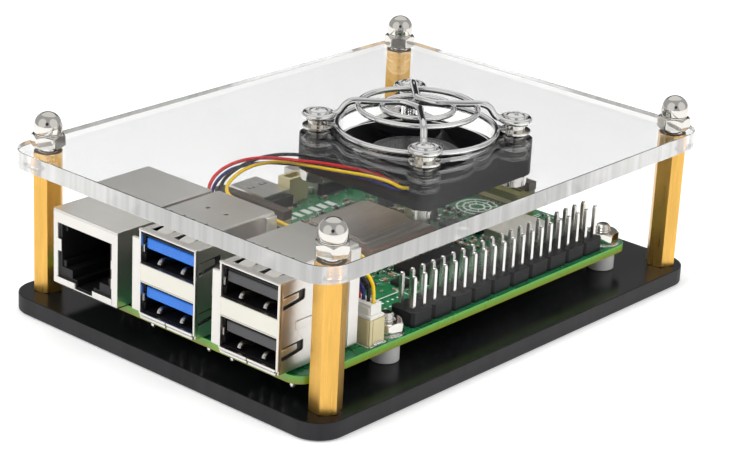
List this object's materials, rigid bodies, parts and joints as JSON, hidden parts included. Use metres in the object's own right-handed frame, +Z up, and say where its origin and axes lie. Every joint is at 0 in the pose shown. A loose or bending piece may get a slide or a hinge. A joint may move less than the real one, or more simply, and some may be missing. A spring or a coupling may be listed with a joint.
{
  "type": "single board computer",
  "caption": "Single board computer on a black base under a clear top plate, with pillar posts, a guarded cooling fan and its lead, network, data and display sockets and a pin header.",
  "frame": {"origin": "centre of the base plate's underside, which is the centre of the object's box at its lowest level", "axes": "+Z up; +X from the network and data sockets towards the far short edge; +Y from the pin header towards the display sockets"},
  "size_m": [0.0982, 0.072, 0.0344],
  "materials": {
    "black_acrylic": "polished black sheet with sawn edges",
    "clear_acrylic": "polished clear sheet",
    "brass": "brushed along its length",
    "nickel": "bright nickel plate",
    "chrome": "mirror chrome plate",
    "socket_steel": "satin plated sheet",
    "nylon": "light grey moulding",
    "green_board": "green solder mask over glass laminate",
    "black_plastic": "fine moulded grain",
    "blue_plastic": "smooth moulding",
    "grey_plastic": "smooth moulding",
    "lid_metal": "satin plated lid on a brown laminate",
    "cream_plastic": "smooth moulding",
    "white_plastic": "smooth moulding",
    "brown_plastic": "fine moulded grain",
    "fan_plastic": "fine moulded grain",
    "yellow_wire": "smooth insulation",
    "black_wire": "smooth insulation",
    "blue_wire": "smooth insulation",
    "red_wire": "smooth insulation",
    "silkscreen": "thin white ink",
    "gold_contact": "thin gold plate",
    "chip_black": "fine moulded epoxy",
    "lamp_green": "clear tinted lens",
    "lamp_yellow": "clear tinted lens"
  },
  "bodies": {
    "case": {"base_plate": "black_acrylic", "top_plate": "clear_acrylic", "standoff_1": "brass", "acorn_nut_1": "nickel", "board_spacer_1": "nylon", "board_screw_1": "nickel", "board_nut_1": "nickel", "fan_screw_1": "chrome", "fan_nut_1": "nickel", "standoff_2": "brass", "acorn_nut_2": "nickel", "board_spacer_2": "nylon", "board_screw_2": "nickel", "board_nut_2": "nickel", "fan_screw_2": "chrome", "fan_nut_2": "nickel", "standoff_3": "brass", "acorn_nut_3": "nickel", "board_spacer_3": "nylon", "board_screw_3": "nickel", "board_nut_3": "nickel", "fan_screw_3": "chrome", "fan_nut_3": "nickel", "standoff_4": "brass", "acorn_nut_4": "nickel", "board_spacer_4": "nylon", "board_screw_4": "nickel", "board_nut_4": "nickel", "fan_screw_4": "chrome", "fan_nut_4": "nickel", "main_board": "green_board", "ethernet_shell": "socket_steel", "ethernet_insert": "black_plastic", "usb_shell_1": "socket_steel", "usb_insert_1": "blue_plastic", "usb_shell_2": "socket_steel", "usb_insert_2": "grey_plastic", "pin_header": "black_plastic", "processor": "lid_metal", "video_port_1": "socket_steel", "video_port_2": "socket_steel", "power_port": "socket_steel", "debug_connector": "cream_plastic", "camera_connector_1": "cream_plastic", "camera_connector_2": "cream_plastic", "expansion_connector": "cream_plastic", "power_switch": "socket_steel", "fan_connector": "cream_plastic", "fan_plug": "white_plastic", "fan_frame": "fan_plastic", "finger_guard": "chrome", "fan_wire_yellow": "yellow_wire", "fan_wire_black": "black_wire", "fan_wire_blue": "blue_wire", "fan_wire_red": "red_wire"},
    "fan_rotor": {"fan_rotor": "fan_plastic"},
    "power_button": {"power_button": "white_plastic"},
    "camera_latch_1": {"camera_latch_1": "brown_plastic"},
    "camera_latch_2": {"camera_latch_2": "brown_plastic"},
    "expansion_latch": {"expansion_latch": "brown_plastic"}
  },
  "joints": [
    {"name": "fan_spin", "type": "hinge", "parent": "case", "child": "fan_rotor", "pos_m": [0.0096, -0.0029, 0.0223], "axis": [0, 0, 1], "continuous": true},
    {"name": "power_button_press", "type": "slide", "parent": "case", "child": "power_button", "axis": [-1, 0, 0], "range_m": [0, 0.0003], "stiffness_N_per_m": 1500, "springref_m": -0.0002},
    {"name": "camera_latch_1_lift", "type": "slide", "parent": "case", "child": "camera_latch_1", "axis": [0, 0, 1], "range_m": [0, 0.001]},
    {"name": "camera_latch_2_lift", "type": "slide", "parent": "case", "child": "camera_latch_2", "axis": [0, 0, 1], "range_m": [0, 0.001]},
    {"name": "expansion_latch_lift", "type": "slide", "parent": "case", "child": "expansion_latch", "axis": [0, 0, 1], "range_m": [0, 0.001]}
  ]
}
